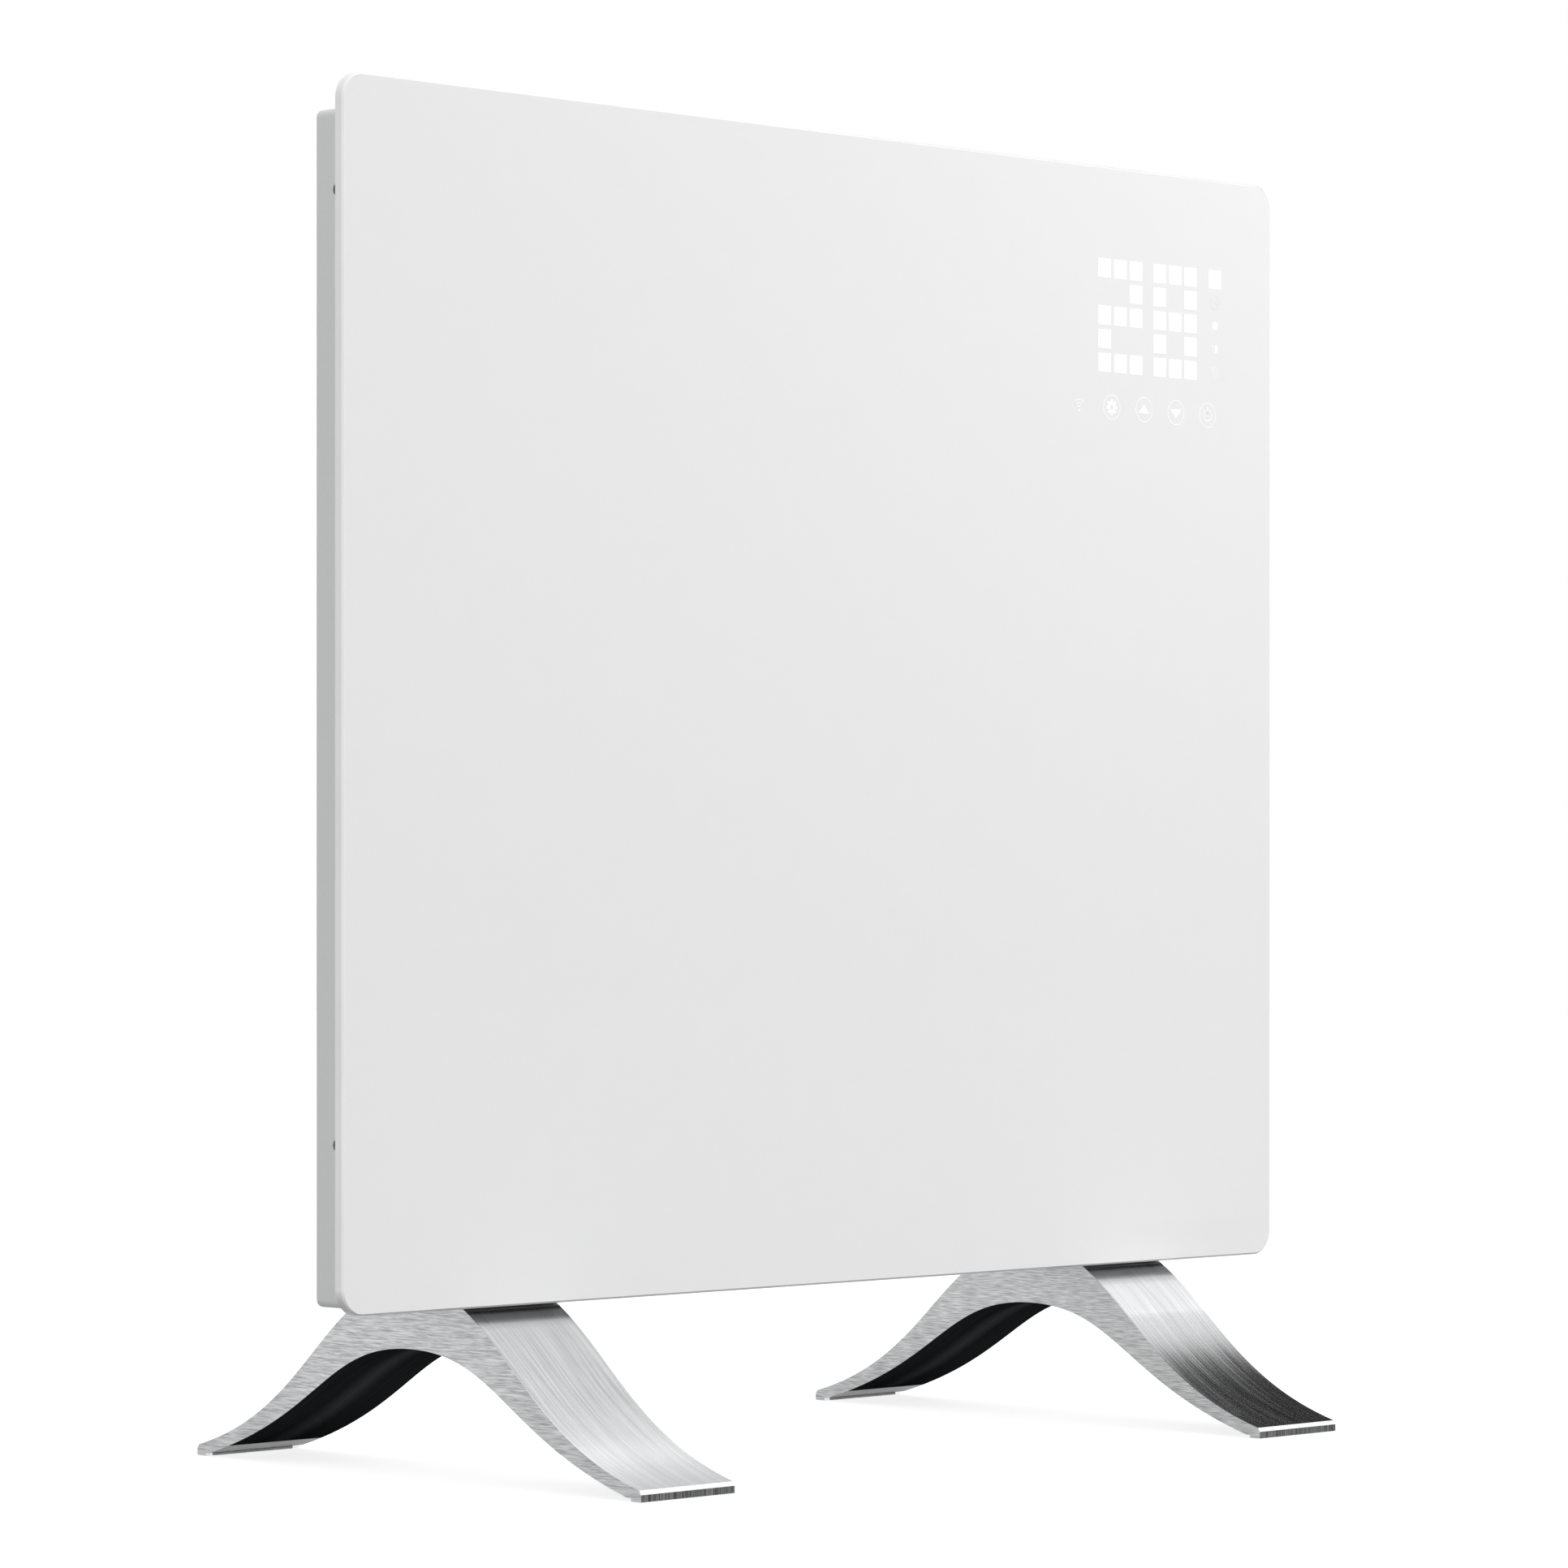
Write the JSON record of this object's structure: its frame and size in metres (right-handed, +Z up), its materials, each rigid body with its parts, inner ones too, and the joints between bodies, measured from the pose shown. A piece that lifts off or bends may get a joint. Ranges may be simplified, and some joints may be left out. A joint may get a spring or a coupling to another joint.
{
  "type": "panel convector heater",
  "caption": "Slim free-standing convector heater: white glass front on a folded steel body, finned aluminium element inside, arched aluminium feet.",
  "frame": {"origin": "on the floor, below the middle of the two feet and midway between them", "axes": "+Z up, -Y towards the glass front, +X to the right as seen from the front"},
  "size_m": [0.528, 0.2538, 0.5263],
  "materials": {
    "glass": "white back-printed tempered glass, polished",
    "painted_steel": "light grey powder coat",
    "brushed_aluminium": "brushed and clear anodised",
    "plain_aluminium": "bare extruded",
    "zinc_steel": "zinc plated",
    "dark_screw": "blackened",
    "clear_rubber": "pale soft pad",
    "black_plastic": "satin moulded",
    "white_plastic": "satin moulded",
    "foam": "foam tape and ribbon",
    "circuit_board": "green solder mask",
    "copper": "copper and enamelled wire",
    "sleeve": "woven glass-fibre sleeve"
  },
  "bodies": {
    "heater": {"glass_panel": "glass", "glass_bond": "foam", "left_foot": "brushed_aluminium", "right_foot": "brushed_aluminium", "left_nut_plate": "zinc_steel", "right_nut_plate": "zinc_steel", "left_foot_screw_1": "zinc_steel", "left_foot_screw_2": "zinc_steel", "right_foot_screw_1": "zinc_steel", "right_foot_screw_2": "zinc_steel", "left_front_pad": "clear_rubber", "left_rear_pad": "clear_rubber", "right_front_pad": "clear_rubber", "right_rear_pad": "clear_rubber", "chassis_tray": "painted_steel", "rear_cover": "painted_steel", "left_upper_screw": "dark_screw", "left_lower_screw": "dark_screw", "right_upper_screw": "dark_screw", "right_lower_screw": "dark_screw", "outlet_grille": "black_plastic", "heating_element": "plain_aluminium", "heater_rod": "zinc_steel", "left_element_bracket": "zinc_steel", "right_element_bracket": "zinc_steel", "heat_reflector": "plain_aluminium", "thermal_cutout": "black_plastic", "partition_shield": "zinc_steel", "light_mask": "white_plastic", "display_board": "circuit_board", "display_carrier": "black_plastic", "wifi_module": "zinc_steel", "touch_spring_settings": "copper", "touch_spring_up": "copper", "touch_spring_down": "copper", "touch_spring_power": "copper", "power_case": "black_plastic", "power_board": "circuit_board", "power_relay": "black_plastic", "power_transformer": "copper", "filter_capacitor": "black_plastic", "triac_heat_sink": "plain_aluminium", "terminal_block": "white_plastic", "cord_gland": "black_plastic", "room_sensor": "white_plastic", "display_ribbon": "foam", "switch_housing": "black_plastic", "tilt_switch_case": "white_plastic", "tilt_pin": "zinc_steel", "reed_switch": "glass", "rod_to_cutout_lead": "sleeve", "cutout_to_board_lead": "sleeve", "rod_to_board_lead": "sleeve"},
    "rocker": {"switch_rocker": "black_plastic"},
    "pendulum": {"tilt_pendulum": "zinc_steel"}
  },
  "joints": [
    {"name": "rocker_tilt", "type": "hinge", "parent": "heater", "child": "rocker", "pos_m": [0.2383, -0.0191, 0.15], "axis": [0, 1, 0], "range_deg": [-20, 0]},
    {"name": "pendulum_swing", "type": "hinge", "parent": "heater", "child": "pendulum", "pos_m": [0.141, -0.0124, 0.0988], "axis": [1, 0, 0], "range_deg": [-25, 25]}
  ]
}
